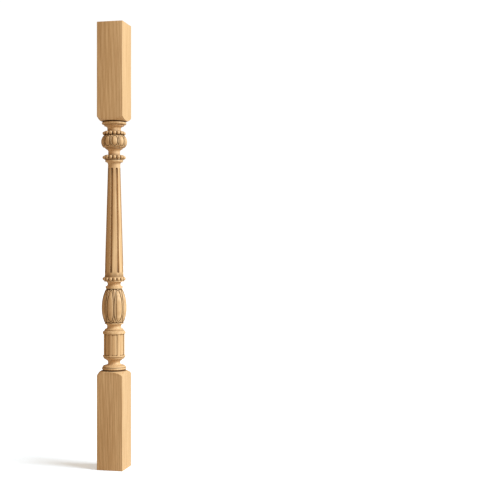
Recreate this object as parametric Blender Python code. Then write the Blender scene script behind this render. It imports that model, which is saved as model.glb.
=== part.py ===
"""A square-ended wooden stair baluster, turned and carved in one piece.

Two plain square blocks end in turned shoulders. Between them come a panelled drum, a carved vase,
a tapered fluted shaft and a carved bulb, parted by coves, fillets and collars of beads.
Metres, +Z up, with the origin at the middle of the lower block's underside.
"""

import math

import bmesh
import bpy
from mathutils import Matrix, Vector

# Overall sizes
HEIGHT = 1.000
BLOCK_SIDE = 0.060
BLOCK_LENGTH = 0.220

# Turned shoulder where a block meets the turning
SHOULDER_RADIUS = 0.0276
SHOULDER_RISE = 0.0105
SHOULDER_BULGE = 0.0014

# Lower mouldings, from the block up to the drum
LOWER_RECESS_RADIUS = 0.0246
LOWER_RECESS_HEIGHT = 0.0018
LOWER_TORUS_RADIUS = 0.0273
LOWER_TORUS_HEIGHT = 0.0060
LOWER_OVOLO_RADIUS = 0.0262
LOWER_OVOLO_TOP_RADIUS = 0.0220
LOWER_OVOLO_HEIGHT = 0.0040
LOWER_NECK_RADIUS = 0.0136
LOWER_NECK_FOOT_RADIUS = 0.0206
LOWER_NECK_TOP_RADIUS = 0.0166
LOWER_NECK_HEIGHT = 0.0116
LOWER_FILLET_RADIUS = 0.0176
LOWER_FILLET_HEIGHT = 0.0015
DRUM_SEAT_FOOT_RADIUS = 0.0190
DRUM_SEAT_RADIUS = 0.0242
DRUM_SEAT_HEIGHT = 0.0058
DRUM_RING_RADIUS = 0.0254
DRUM_RING_HEIGHT = 0.0037

# Panelled drum
DRUM_RADIUS = 0.0241
DRUM_HEIGHT = 0.0480
PANEL_DEPTH = 0.0013
STRIP_COUNT = 8
STRIP_ANGLE = math.radians(15.0)

# Mouldings between the drum and the vase
CAP_RADIUS = 0.0255
CAP_TOP_RADIUS = 0.0216
CAP_EDGE_HEIGHT = 0.0012
CAP_HEIGHT = 0.0077
CAP_FILLET_RADIUS = 0.0211
CAP_FILLET_HEIGHT = 0.0032
VASE_COVE_RADIUS = 0.0156
VASE_COVE_FOOT_RADIUS = 0.0188
VASE_COVE_TOP_RADIUS = 0.0192
VASE_COVE_HEIGHT = 0.0113
VASE_DISC_RADIUS = 0.0212
VASE_DISC_HEIGHT = 0.0031
UNDERCUT_HEIGHT = 0.0007

# Carved vase
VASE_HEIGHT = 0.0750
VASE_BELLY_HEIGHT = 0.0325
VASE_RADIUS = 0.0279
VASE_FOOT_RADIUS = 0.0217
VASE_TOP_RADIUS = 0.0181
VASE_LOOP_COUNT = 8
VASE_LOOP_START = 0.0
VASE_LOOP_CENTRE_HEIGHT = 0.0267
VASE_RIM_WIDTH = 0.0024

# Mouldings and beads between the vase and the shaft
VASE_RING_RADIUS = 0.0191
VASE_RING_HEIGHT = 0.0057
SHAFT_COVE_RADIUS = 0.0147
SHAFT_COVE_FOOT_RADIUS = 0.0164
SHAFT_COVE_TOP_RADIUS = 0.0182
SHAFT_COVE_HEIGHT = 0.0100
SHAFT_BAND_RADIUS = 0.0223
SHAFT_BAND_HEIGHT = 0.0109
SHAFT_BEAD_HEIGHT = 0.0060

# Tapered fluted shaft
SHAFT_FOOT_RADIUS = 0.0211
SHAFT_TOP_RADIUS = 0.0138
FLUTE_COUNT = 8
FLUTE_RADIUS = 0.0028
FLUTE_FOOT_MARGIN = 0.0088
FLUTE_TOP_MARGIN = 0.0070

# Upper mouldings, from the upper block down to the bulb
UPPER_RECESS_RADIUS = 0.0245
UPPER_RECESS_HEIGHT = 0.0014
UPPER_TORUS_RADIUS = 0.0276
UPPER_TORUS_HEIGHT = 0.0060
UPPER_FILLET_RADIUS = 0.0220
UPPER_FILLET_HEIGHT = 0.0032
UPPER_COVE_RADIUS = 0.0205
UPPER_COVE_HEIGHT = 0.0060
UPPER_NECK_RADIUS = 0.0152
UPPER_NECK_HEIGHT = 0.0056
UPPER_BAND_RADIUS = 0.0210
UPPER_BAND_HEIGHT = 0.0094

# Carved bulb
BULB_HEIGHT = 0.0270
BULB_BELLY_HEIGHT = 0.0126
BULB_RADIUS = 0.0290
BULB_FOOT_RADIUS = 0.0244
BULB_TOP_RADIUS = 0.0232
BULB_LOOP_COUNT = 10
BULB_LOOP_START = math.radians(22.5)
BULB_LOOP_CENTRE_HEIGHT = 0.0130
BULB_RIM_WIDTH = 0.0019

# Mouldings from the bulb down to the shaft
BULB_DISC_RADIUS = 0.0198
BULB_DISC_HEIGHT = 0.0028
BULB_FILLET_RADIUS = 0.0172
BULB_FILLET_HEIGHT = 0.0018
BULB_COVE_RADIUS = 0.0164
BULB_COVE_HEIGHT = 0.0066
BULB_NECK_RADIUS = 0.0133
BULB_NECK_HEIGHT = 0.0063
MIDDLE_BAND_HEIGHT = 0.0100
SHAFT_RING_RADIUS = 0.0194
SHAFT_RING_HEIGHT = 0.0052
SHAFT_CAVETTO_RADIUS = 0.0178
SHAFT_CAVETTO_HEIGHT = 0.0063

# Beads, alike on all three collars
BEAD_COUNT = 16
BEAD_RADIUS = 0.0040
BEAD_RING_RADIUS = 0.0221

# Curves of the mouldings, as shares of their heights
TORUS_SHARE = 0.42
OVOLO_SHARE = 0.20
CAP_SHARE = 0.17
COVE_SHARE = 0.25
CAVETTO_SHARE = 0.20
RING_SHARE = 0.12

# Loop carving: depths, widths and the loops' outline
CARVING_DEPTH = 0.0018
CARVING_ROOT = 0.0010
GROOVE_FLOOR = 0.0003
GROOVE_WIDTH = 0.0008
RIM_GAP = 0.0002
LOOP_SQUARENESS = 2.6
EGG_STAND = 0.0004
EGG_EDGE_SHARE = 0.55
EGG_CREST_SIZE = 0.62
EGG_CREST_SHARE = 0.93
DART_ANGLE = math.radians(9.0)
DART_STAND = 0.0014
DART_REACH = 0.55
DART_TIP_SHARE = 0.06
DART_SWEEP = 0.02

# Finish
WOOD_COLOUR = (0.60, 0.36, 0.17, 1.0)
WOOD_ROUGHNESS = 0.55

# Overlap of solids that are joined, and how finely round shapes are divided
JOIN = 0.0020
TURN_STEPS = 20
TURN_PHASE = math.radians(4.0)
SHOULDER_PHASE = 0.0
ARC_STEPS = 3
BODY_STEPS = 5
VASE_LOOP_STEPS = 12
BULB_LOOP_STEPS = 8
BEAD_STEPS = 6
BEAD_RINGS = 4
FLUTE_STEPS = 8
FLUTE_RINGS = 5
DART_STEPS = 2
SHARP_ANGLE = math.radians(32.0)
MERGE_DISTANCE = 1e-6


class Turning:
    """A turned outline, laid down moulding by moulding from a starting height, upwards or downwards."""

    def __init__(self, start, way):
        self.z = start
        self.way = way
        self.points = []

    def straight(self, radius, height):
        """A cylinder."""
        self.points.append((radius, self.z))
        self.z += self.way * height
        self.points.append((radius, self.z))

    def curve(self, radius, end_radius, height, bulge):
        """An arc that stands out from its chord by bulge, or is hollowed by it where it is negative."""
        start = Vector((radius, self.z))
        self.z += self.way * height
        end = Vector((end_radius, self.z))
        self.points.extend(arc(start, end, bulge))

    def cove(self, radius, end_radius, waist_radius, height):
        """A hollow that reaches its waist between its two edges."""
        self.curve(radius, end_radius, height, waist_radius - (radius + end_radius) / 2)

    def torus(self, radius, height):
        """A half-round ring."""
        edge = radius - height * TORUS_SHARE
        self.curve(edge, edge, height, radius - edge)

    def body(self, body, depth):
        """The ground of a carved body, sunk by depth below the outline of its carving."""
        low, high = (body.foot, body.top) if self.way > 0 else (body.top, body.foot)
        for step in range(BODY_STEPS + 1):
            z = low + (high - low) * step / BODY_STEPS
            self.points.append((body.radius_at(z) - depth, z))
        self.z = high


class Body:
    """A swelling body whose outline is one ellipse above its belly and another below."""

    def __init__(self, foot, height, belly_height, radius, foot_radius, top_radius):
        self.foot = foot
        self.top = foot + height
        self.belly = foot + belly_height
        self.radius = radius
        self.half_below = belly_height / math.sqrt(1.0 - (foot_radius / radius) ** 2)
        self.half_above = (height - belly_height) / math.sqrt(1.0 - (top_radius / radius) ** 2)

    def radius_at(self, z):
        """The radius of the carved outline at a height."""
        half = self.half_above if z > self.belly else self.half_below
        return self.radius * math.sqrt(max(0.0, 1.0 - ((z - self.belly) / half) ** 2))


class Loops:
    """A ring of upright loops round a body, each an egg in a raised rim, with darts between them."""

    def __init__(self, body, count, start, centre_height, rim_width, steps):
        self.body = body
        self.count = count
        self.start = start
        self.pitch = math.tau / count
        self.centre = body.foot + centre_height
        self.rim_width = rim_width
        self.steps = steps
        half_rim = rim_width / 2
        self.half_angle = self.pitch / 2 - (half_rim + RIM_GAP / 2) / body.radius
        self.reach_up = body.top - self.centre - half_rim
        self.reach_down = self.centre - body.foot - half_rim

    def outline(self, turn, inset=0.0):
        """The angle from the loop's own middle and the height, at a turn round the rim's middle line."""
        across = math.cos(turn)
        along = math.sin(turn)
        power = 2.0 / LOOP_SQUARENESS
        reach = self.reach_up if along > 0 else self.reach_down
        half_angle = self.half_angle - inset / self.body.radius
        angle = half_angle * math.copysign(abs(across) ** power, across)
        z = self.centre + (reach - inset) * math.copysign(abs(along) ** power, along)
        return angle, z

    def half_angle_at(self, z):
        """Half the angle that the rim's middle line spans at a height."""
        reach = self.reach_up if z > self.centre else self.reach_down
        share = min(1.0, abs(z - self.centre) / reach)
        return self.half_angle * (1.0 - share**LOOP_SQUARENESS) ** (1.0 / LOOP_SQUARENESS)

    def place(self, angle, z, lift):
        """The point at an angle and a height that stands lift above the body's sunk ground."""
        radius = self.body.radius_at(z) - CARVING_DEPTH + lift
        return on_radius(angle, radius, z)


def on_radius(angle, radius, z):
    """The point at an angle from the front, -Y, counted towards +X."""
    return Vector((radius * math.sin(angle), -radius * math.cos(angle), z))


def arc(start, end, bulge):
    """Points from start to end on a circular arc that leaves its chord by bulge, outwards if positive."""
    chord = end - start
    side = Vector((abs(chord.y), -chord.x if chord.y > 0 else chord.x)).normalized()
    half = chord.length / 2
    radius = (half**2 + bulge**2) / (2 * abs(bulge))
    sweep = 2 * math.asin(min(1.0, half / radius))
    points = []
    for step in range(ARC_STEPS + 1):
        turn = sweep * (step / ARC_STEPS - 0.5)
        along = radius * math.sin(turn)
        out = math.copysign(radius * math.cos(turn) - (radius - abs(bulge)), bulge)
        place = (start + end) / 2 + chord.normalized() * along + side * out
        points.append((place.x, place.y))
    return points


def ring_angles(count, start=0.0):
    """Evenly spaced angles round the axis."""
    return [start + math.tau * index / count for index in range(count)]


def new_object(name, bm, material, helper=True):
    """An object from a bmesh. A helper is drawn as wire and left out of renders."""
    bmesh.ops.recalc_face_normals(bm, faces=bm.faces)
    mesh = bpy.data.meshes.new(name)
    bm.to_mesh(mesh)
    bm.free()
    mesh.shade_smooth()
    mesh.set_sharp_from_angle(angle=SHARP_ANGLE)
    mesh.materials.append(material)
    item = bpy.data.objects.new(name, mesh)
    bpy.context.scene.collection.objects.link(item)
    if helper:
        item.hide_render = True
        item.display_type = "WIRE"
    return item


def join(target, operand, operation):
    """Adds a Boolean modifier."""
    modifier = target.modifiers.new(operand.name, "BOOLEAN")
    modifier.operation = operation
    modifier.solver = "EXACT"
    modifier.object = operand


def turned(outline, phase=TURN_PHASE):
    """A closed solid from (radius, height) points, spun round the Z axis from a line at the phase.

    The phases keep the solid's upright edges off the middle planes of the carving and the blocks' corners.
    """
    bm = bmesh.new()
    points = [(0.0, outline[0][1]), *outline, (0.0, outline[-1][1])]
    line = [bm.verts.new(on_radius(phase, radius, z)) for radius, z in points]
    edges = [bm.edges.new(pair) for pair in zip(line, line[1:])]
    bmesh.ops.spin(
        bm,
        geom=line + edges,
        axis=(0.0, 0.0, 1.0),
        cent=(0.0, 0.0, 0.0),
        angle=math.tau,
        steps=TURN_STEPS,
        use_merge=True,
    )
    bmesh.ops.remove_doubles(bm, verts=bm.verts, dist=MERGE_DISTANCE)
    return bm


def wood():
    """Pale oak with a satin finish."""
    material = bpy.data.materials.new("oak")
    material.use_nodes = True
    shader = material.node_tree.nodes["Principled BSDF"]
    shader.inputs["Base Color"].default_value = WOOD_COLOUR
    shader.inputs["Roughness"].default_value = WOOD_ROUGHNESS
    shader.inputs["Metallic"].default_value = 0.0
    return material


def block(name, end, way, material):
    """A square block whose turned shoulder ends at a height, and faces up where way is 1, else down."""
    corner = BLOCK_SIDE / math.sqrt(2.0) + JOIN
    slope = SHOULDER_RISE / (BLOCK_SIDE / math.sqrt(2.0) - SHOULDER_RADIUS)
    drop = slope * (corner - SHOULDER_RADIUS)
    outline = Turning(end - way * (BLOCK_LENGTH + JOIN), way)
    outline.straight(corner, BLOCK_LENGTH + JOIN - drop)
    outline.curve(corner, SHOULDER_RADIUS, drop, SHOULDER_BULGE)
    shoulder = new_object(name + "_shoulder", turned(outline.points, SHOULDER_PHASE), material)

    bm = bmesh.new()
    bmesh.ops.create_cube(bm, size=1.0)
    bmesh.ops.scale(bm, verts=bm.verts, vec=(BLOCK_SIDE, BLOCK_SIDE, BLOCK_LENGTH + JOIN))
    bmesh.ops.translate(bm, verts=bm.verts, vec=(0.0, 0.0, end - way * (BLOCK_LENGTH - JOIN) / 2))
    square = new_object(name, bm, material)
    join(square, shoulder, "INTERSECT")
    return square


def lower_turning():
    """The outline from the lower block to the foot of the shaft, and the vase that it holds."""
    line = Turning(BLOCK_LENGTH - JOIN, 1)
    line.straight(LOWER_RECESS_RADIUS, JOIN + LOWER_RECESS_HEIGHT)
    line.torus(LOWER_TORUS_RADIUS, LOWER_TORUS_HEIGHT)
    ovolo_bulge = LOWER_OVOLO_HEIGHT * OVOLO_SHARE
    line.curve(LOWER_OVOLO_RADIUS, LOWER_OVOLO_TOP_RADIUS, LOWER_OVOLO_HEIGHT, ovolo_bulge)
    line.cove(LOWER_NECK_FOOT_RADIUS, LOWER_NECK_TOP_RADIUS, LOWER_NECK_RADIUS, LOWER_NECK_HEIGHT)
    line.straight(LOWER_FILLET_RADIUS, LOWER_FILLET_HEIGHT)
    line.curve(DRUM_SEAT_FOOT_RADIUS, DRUM_SEAT_RADIUS, DRUM_SEAT_HEIGHT, DRUM_SEAT_HEIGHT * OVOLO_SHARE)
    line.straight(DRUM_RING_RADIUS, DRUM_RING_HEIGHT)
    drum_foot = line.z
    line.straight(DRUM_RADIUS - PANEL_DEPTH, DRUM_HEIGHT)
    line.points.append((CAP_RADIUS, line.z))
    line.z += CAP_EDGE_HEIGHT
    line.curve(CAP_RADIUS, CAP_TOP_RADIUS, CAP_HEIGHT - CAP_EDGE_HEIGHT, CAP_HEIGHT * CAP_SHARE)
    line.straight(CAP_FILLET_RADIUS, CAP_FILLET_HEIGHT)
    line.cove(VASE_COVE_FOOT_RADIUS, VASE_COVE_TOP_RADIUS, VASE_COVE_RADIUS, VASE_COVE_HEIGHT)
    line.straight(VASE_DISC_RADIUS, VASE_DISC_HEIGHT)
    line.points.append((VASE_FOOT_RADIUS - CARVING_DEPTH, line.z))
    line.z += UNDERCUT_HEIGHT
    vase = Body(line.z, VASE_HEIGHT, VASE_BELLY_HEIGHT, VASE_RADIUS, VASE_FOOT_RADIUS, VASE_TOP_RADIUS)
    line.body(vase, CARVING_DEPTH)
    line.z += UNDERCUT_HEIGHT
    line.points.append((VASE_TOP_RADIUS - CARVING_DEPTH, line.z))
    line.straight(VASE_RING_RADIUS, VASE_RING_HEIGHT)
    line.cove(SHAFT_COVE_FOOT_RADIUS, SHAFT_COVE_TOP_RADIUS, SHAFT_COVE_RADIUS, SHAFT_COVE_HEIGHT)
    beads = line.z + SHAFT_BEAD_HEIGHT
    line.straight(SHAFT_BAND_RADIUS, SHAFT_BAND_HEIGHT)
    line.points.append((SHAFT_FOOT_RADIUS, line.z))
    return line, vase, beads, drum_foot


def upper_turning():
    """The outline from the upper block down to the top of the shaft, and the bulb that it holds."""
    line = Turning(HEIGHT - BLOCK_LENGTH + JOIN, -1)
    line.straight(UPPER_RECESS_RADIUS, JOIN + UPPER_RECESS_HEIGHT)
    line.torus(UPPER_TORUS_RADIUS, UPPER_TORUS_HEIGHT)
    line.straight(UPPER_FILLET_RADIUS, UPPER_FILLET_HEIGHT)
    line.curve(UPPER_COVE_RADIUS, UPPER_NECK_RADIUS, UPPER_COVE_HEIGHT, -UPPER_COVE_HEIGHT * COVE_SHARE)
    line.z -= UPPER_NECK_HEIGHT
    line.points.append((UPPER_NECK_RADIUS, line.z))
    upper_beads = line.z - UPPER_BAND_HEIGHT / 2
    line.straight(UPPER_BAND_RADIUS, UPPER_BAND_HEIGHT)
    foot = line.z - BULB_HEIGHT
    bulb = Body(foot, BULB_HEIGHT, BULB_BELLY_HEIGHT, BULB_RADIUS, BULB_FOOT_RADIUS, BULB_TOP_RADIUS)
    line.body(bulb, CARVING_DEPTH)
    line.straight(BULB_DISC_RADIUS, BULB_DISC_HEIGHT)
    line.straight(BULB_FILLET_RADIUS, BULB_FILLET_HEIGHT)
    line.curve(BULB_COVE_RADIUS, BULB_NECK_RADIUS, BULB_COVE_HEIGHT, -BULB_COVE_HEIGHT * CAVETTO_SHARE)
    line.z -= BULB_NECK_HEIGHT
    line.points.append((BULB_NECK_RADIUS, line.z))
    middle_beads = line.z - MIDDLE_BAND_HEIGHT / 2
    line.straight(UPPER_BAND_RADIUS, MIDDLE_BAND_HEIGHT)
    line.curve(SHAFT_RING_RADIUS, SHAFT_RING_RADIUS, SHAFT_RING_HEIGHT, SHAFT_RING_HEIGHT * RING_SHARE)
    cavetto_bulge = -SHAFT_CAVETTO_HEIGHT * CAVETTO_SHARE
    line.curve(SHAFT_CAVETTO_RADIUS, SHAFT_TOP_RADIUS, SHAFT_CAVETTO_HEIGHT, cavetto_bulge)
    return line, bulb, (upper_beads, middle_beads)


def beads(heights, material):
    """A ring of beads at each height."""
    bm = bmesh.new()
    for z in heights:
        for angle in ring_angles(BEAD_COUNT):
            centre = on_radius(angle, BEAD_RING_RADIUS, z)
            outwards = Matrix.Rotation(angle, 4, "Z") @ Matrix.Rotation(math.radians(90.0), 4, "X")
            bmesh.ops.create_uvsphere(
                bm,
                u_segments=BEAD_STEPS,
                v_segments=BEAD_RINGS,
                radius=BEAD_RADIUS,
                matrix=Matrix.Translation(centre) @ outwards,
            )
    return new_object("beads", bm, material)


def flutes(foot, top, material):
    """Round-ended hollows that follow the shaft's taper, between the heights of its foot and top."""
    low = foot + FLUTE_FOOT_MARGIN + FLUTE_RADIUS
    high = top - FLUTE_TOP_MARGIN - FLUTE_RADIUS
    slope = (SHAFT_TOP_RADIUS - SHAFT_FOOT_RADIUS) / (top - foot)
    bm = bmesh.new()
    for angle in ring_angles(FLUTE_COUNT):
        made = bmesh.ops.create_uvsphere(
            bm, u_segments=FLUTE_STEPS, v_segments=FLUTE_RINGS, radius=FLUTE_RADIUS
        )
        for vert in made["verts"]:
            z = vert.co.z + (high if vert.co.z > 0 else low)
            radius = SHAFT_FOOT_RADIUS + slope * (z - foot)
            vert.co = Matrix.Rotation(angle, 3, "Z") @ Vector((vert.co.x, vert.co.y - radius, z))
    return new_object("flutes", bm, material)


def strips(foot, material):
    """Raised flat strips on the drum. Their ends run into the mouldings above and below."""
    bm = bmesh.new()
    for angle in ring_angles(STRIP_COUNT):
        made = bmesh.ops.create_cube(bm, size=2.0)["verts"]
        geom = made + list({face for vert in made for face in vert.link_faces})
        geom += list({edge for vert in made for edge in vert.link_edges})
        split = bmesh.ops.bisect_plane(bm, geom=geom, plane_co=(0, 0, 0), plane_no=(1, 0, 0))
        for vert in made + [item for item in split["geom_cut"] if isinstance(item, bmesh.types.BMVert)]:
            inner = DRUM_RADIUS - PANEL_DEPTH - JOIN
            radius = inner if vert.co.y > 0 else DRUM_RADIUS
            z = foot - JOIN / 2 if vert.co.z < 0 else foot + DRUM_HEIGHT + CAP_EDGE_HEIGHT / 2
            vert.co = on_radius(angle + vert.co.x * STRIP_ANGLE / 2, radius, z)
    return new_object("strips", bm, material)


def carved_loops(name, loops, material):
    """A long egg in a groove and a raised rim, for each loop, rooted below the body's ground."""
    half_rim = loops.rim_width / 2
    edge = half_rim + GROOVE_WIDTH
    height = CARVING_DEPTH + EGG_STAND
    rows = (
        (-half_rim, 1.0, -CARVING_ROOT),
        (0.0, 1.0, CARVING_DEPTH),
        (edge - GROOVE_WIDTH / 2, 1.0, GROOVE_FLOOR),
        (edge, 1.0, height * EGG_EDGE_SHARE),
        (edge, EGG_CREST_SIZE, height * EGG_CREST_SHARE),
    )
    bm = bmesh.new()
    for middle in ring_angles(loops.count, loops.start):
        rings = []
        for inset, share, lift in rows:
            ring = []
            for step in range(loops.steps):
                turn = math.tau * (step + 0.5) / loops.steps
                angle, z = loops.outline(turn, inset)
                z = loops.centre + (z - loops.centre) * share
                ring.append(bm.verts.new(loops.place(middle + angle * share, z, lift)))
            rings.append(ring)
        for one, other in zip(rings, rings[1:]):
            bmesh.ops.bridge_loops(bm, edges=closed_edges(bm, one) + closed_edges(bm, other))
        fan(bm, rings[0], loops.place(middle, loops.centre, -CARVING_ROOT * 2))
        fan(bm, rings[-1], loops.place(middle, loops.centre, height))
    return new_object(name, bm, material)


def closed_edges(bm, ring):
    """The edges round a ring of vertices, made where they are missing."""
    pairs = zip(ring, ring[1:] + ring[:1])
    return [bm.edges.get(pair) or bm.edges.new(pair) for pair in pairs]


def fan(bm, ring, place):
    """Closes a ring of vertices with triangles round one more vertex."""
    middle = bm.verts.new(place)
    for one, other in zip(ring, ring[1:] + ring[:1]):
        bm.faces.new((one, other, middle))


def darts(name, loops, material):
    """The ridged darts that fill the corners between the loops, at the top and at the foot."""
    bm = bmesh.new()
    body = loops.body
    for middle in ring_angles(loops.count, loops.start + loops.pitch / 2):
        for end in (body.top, body.foot):
            tip = dart_tip(loops, end)
            rows = []
            for step in range(DART_STEPS + 1):
                share = step / DART_STEPS
                z = tip + (end - tip) * share
                gap = loops.pitch / 2 - loops.half_angle_at(z)
                half = min(DART_ANGLE, gap) if step else DART_ANGLE * DART_TIP_SHARE
                ridge = CARVING_ROOT + (DART_STAND - CARVING_ROOT) * share
                side = z - (end - loops.centre) * DART_SWEEP * share
                corners = (
                    loops.place(middle - half, side, -CARVING_ROOT),
                    loops.place(middle, z, ridge),
                    loops.place(middle + half, side, -CARVING_ROOT),
                )
                ring = [bm.verts.new(place) for place in corners]
                rows.append([bm.edges.new(pair) for pair in zip(ring, ring[1:] + ring[:1])])
            for one, other in zip(rows, rows[1:]):
                bmesh.ops.bridge_loops(bm, edges=one + other)
            bmesh.ops.contextual_create(bm, geom=rows[0])
            bmesh.ops.contextual_create(bm, geom=rows[-1])
    return new_object(name, bm, material)


def dart_tip(loops, end):
    """The height at which the rims of two neighbouring loops part, towards one end of the body."""
    reach = loops.reach_up if end > loops.centre else loops.reach_down
    return loops.centre + math.copysign(reach * DART_REACH, end - loops.centre)


def baluster():
    """The turned core with its carving, beads, flutes and blocks joined on or cut in."""
    material = wood()
    lower, vase, shaft_beads, drum_foot = lower_turning()
    upper, bulb, upper_beads = upper_turning()
    outline = lower.points + upper.points[::-1]
    piece = new_object("carved_baluster", turned(outline), material, helper=False)

    vase_loops = Loops(
        vase, VASE_LOOP_COUNT, VASE_LOOP_START, VASE_LOOP_CENTRE_HEIGHT, VASE_RIM_WIDTH, VASE_LOOP_STEPS
    )
    bulb_loops = Loops(
        bulb, BULB_LOOP_COUNT, BULB_LOOP_START, BULB_LOOP_CENTRE_HEIGHT, BULB_RIM_WIDTH, BULB_LOOP_STEPS
    )
    join(piece, flutes(lower.z, upper.z, material), "DIFFERENCE")
    join(piece, strips(drum_foot, material), "UNION")
    for name, loops in (("vase", vase_loops), ("bulb", bulb_loops)):
        join(piece, carved_loops(name + "_loops", loops, material), "UNION")
        join(piece, darts(name + "_darts", loops, material), "UNION")
    join(piece, beads((shaft_beads, *upper_beads), material), "UNION")
    join(piece, block("lower_block", BLOCK_LENGTH, 1, material), "UNION")
    join(piece, block("upper_block", HEIGHT - BLOCK_LENGTH, -1, material), "UNION")


def main():
    """Empties the file and builds the baluster."""
    for item in list(bpy.data.objects):
        bpy.data.objects.remove(item)
    baluster()


main()
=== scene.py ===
"""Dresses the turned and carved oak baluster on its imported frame.

The finely carved wood takes the place of the plain solid, and stands on a pale floor in soft studio light.
"""

import math

import bmesh
import bpy
from mathutils import Matrix, Vector
from mathutils.bvhtree import BVHTree


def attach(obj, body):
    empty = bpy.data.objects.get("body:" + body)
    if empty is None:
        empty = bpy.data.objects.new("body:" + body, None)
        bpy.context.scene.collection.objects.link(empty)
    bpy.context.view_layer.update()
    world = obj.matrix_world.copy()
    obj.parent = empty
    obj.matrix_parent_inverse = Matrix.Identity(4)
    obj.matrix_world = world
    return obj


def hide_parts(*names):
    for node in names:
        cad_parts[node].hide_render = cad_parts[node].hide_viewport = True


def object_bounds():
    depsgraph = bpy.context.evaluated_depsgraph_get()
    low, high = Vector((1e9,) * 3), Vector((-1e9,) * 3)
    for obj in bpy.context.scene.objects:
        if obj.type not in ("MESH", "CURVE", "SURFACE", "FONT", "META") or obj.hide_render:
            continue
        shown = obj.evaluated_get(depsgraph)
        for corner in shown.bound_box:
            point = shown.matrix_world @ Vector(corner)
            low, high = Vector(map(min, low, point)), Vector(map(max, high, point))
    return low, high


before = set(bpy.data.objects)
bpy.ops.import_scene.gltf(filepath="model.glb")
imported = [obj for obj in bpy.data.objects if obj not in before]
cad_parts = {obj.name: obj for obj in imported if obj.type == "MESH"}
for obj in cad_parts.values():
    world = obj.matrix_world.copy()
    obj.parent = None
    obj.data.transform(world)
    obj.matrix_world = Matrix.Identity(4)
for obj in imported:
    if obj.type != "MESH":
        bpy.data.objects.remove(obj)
CAD_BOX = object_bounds()
FOOT, HEAD = CAD_BOX
SIDE = HEAD.x - FOOT.x

bl_info = {
    "name": "Carved Oak Baluster",
    "version": (1, 0, 0),
    "blender": (4, 5, 0),
    "location": "3D View > Sidebar > Baluster",
    "description": "A turned and carved oak baluster with its wood finish and a plain studio",
    "category": "Object",
}

NODE = "carved_baluster"
PIECE = "carved_oak_baluster"

# Turned mouldings in metres: the radii of the edges, a cove's waist, and last the height
BLOCK_LENGTH = 0.220
SHOULDER_RADIUS = 0.0276
SHOULDER_RISE = 0.0105
SHOULDER_BULGE = 0.0014
LOWER_RECESS = (0.0246, 0.0018)
LOWER_TORUS = (0.0273, 0.0060)
LOWER_OVOLO = (0.0262, 0.0220, 0.0040)
LOWER_NECK = (0.0206, 0.0166, 0.0136, 0.0116)
LOWER_FILLET = (0.0176, 0.0015)
DRUM_SEAT = (0.0190, 0.0242, 0.0058)
DRUM_RING = (0.0254, 0.0037)
DRUM_RADIUS = 0.0241
DRUM_HEIGHT = 0.0480
PANEL_DEPTH = 0.0013
STRIP_COUNT = 8
STRIP_ANGLE = math.radians(15.0)
CAP_EDGE = (0.0255, 0.0012)
CAP_EDGE_ROUND = 0.0003
CAP_OVOLO = (0.0255, 0.0216, 0.0065)
CAP_BULGE = 0.0013
CAP_FILLET = (0.0211, 0.0032)
VASE_COVE = (0.0188, 0.0192, 0.0156, 0.0113)
VASE_DISC = (0.0212, 0.0031)
UNDERCUT_HEIGHT = 0.0007
VASE_RING = (0.0191, 0.0057)
SHAFT_COVE = (0.0164, 0.0182, 0.0147, 0.0100)
SHAFT_BAND = (0.0223, 0.0109)
SHAFT_BEAD_HEIGHT = 0.0060
SHAFT_FOOT_RADIUS = 0.0211
SHAFT_TOP_RADIUS = 0.0138
UPPER_RECESS = (0.0245, 0.0014)
UPPER_TORUS = (0.0276, 0.0060)
UPPER_FILLET = (0.0220, 0.0032)
UPPER_COVE = (0.0205, 0.0060)
UPPER_NECK = (0.0152, 0.0056)
UPPER_BAND = (0.0210, 0.0094)
BULB_DISC = (0.0198, 0.0028)
BULB_FILLET = (0.0172, 0.0018)
BULB_COVE = (0.0164, 0.0066)
BULB_NECK = (0.0133, 0.0063)
MIDDLE_BAND = (0.0210, 0.0100)
SHAFT_RING = (0.0194, 0.0052)
SHAFT_CAVETTO = (0.0178, 0.0063)
# How far a curved moulding leaves its chord, as a share of its height
TORUS_SHARE = 0.42
OVOLO_SHARE = 0.2
COVE_SHARE = 0.25
RING_SHARE = 0.12

# Carved bodies: height, height of the belly, and radii of the belly, foot and top
VASE = (0.0750, 0.0325, 0.0279, 0.0217, 0.0181)
BULB = (0.0270, 0.0126, 0.0290, 0.0244, 0.0232)

# Loops: the heights of their middles, and the forms of their rims, grooves and eggs
VASE_LOOP_CENTRE = 0.0267
BULB_LOOP_CENTRE = 0.0130
BULB_LOOP_START = math.radians(22.5)
LOOP_SQUARENESS = 2.6
CARVING_ROOT = 0.0007
RIM_GAP = 0.0005
RIM_SQUARENESS = 2.8
GROOVE_FLOOR = 0.0001
GROOVE_EDGES = (1.04, 0.98)
EGG_SHARES = (1.0, 0.985, 0.96, 0.92, 0.86, 0.78, 0.68, 0.55, 0.40, 0.22)
EGG_EDGE_POWER = 2.6
EGG_EDGE_FALL = 0.93
EGG_DOME_POWER = 0.62

# Darts: half width and ridge height on each body, then shares of a dart's length and its least sizes
VASE_DART = (math.radians(10.5), 0.0019)
BULB_DART = (math.radians(6.0), 0.0013)
DART_REACH = 0.5
DART_TIP = 0.92
DART_TIP_LENGTH = 0.085
DART_FOOT_WIDTH = 0.1
DART_TIP_LIFT = 0.35
DART_RISE = 1.3
DART_LEAST_HALF = 0.0015
DART_LEAST_RIDGE = 0.0002
DART_SIDE_DEPTH = 0.0001

# Beads and flutes
BEAD_RING_RADIUS = 0.0221
FLUTE_FOOT_MARGIN = 0.0088
FLUTE_TOP_MARGIN = 0.0070
FLUTE_DEPTH_SHARE = 1.2

# Overlap of joined solids, and the distance within which points are merged
JOIN = 0.0020
MERGE_DISTANCE = 1e-6

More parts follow.
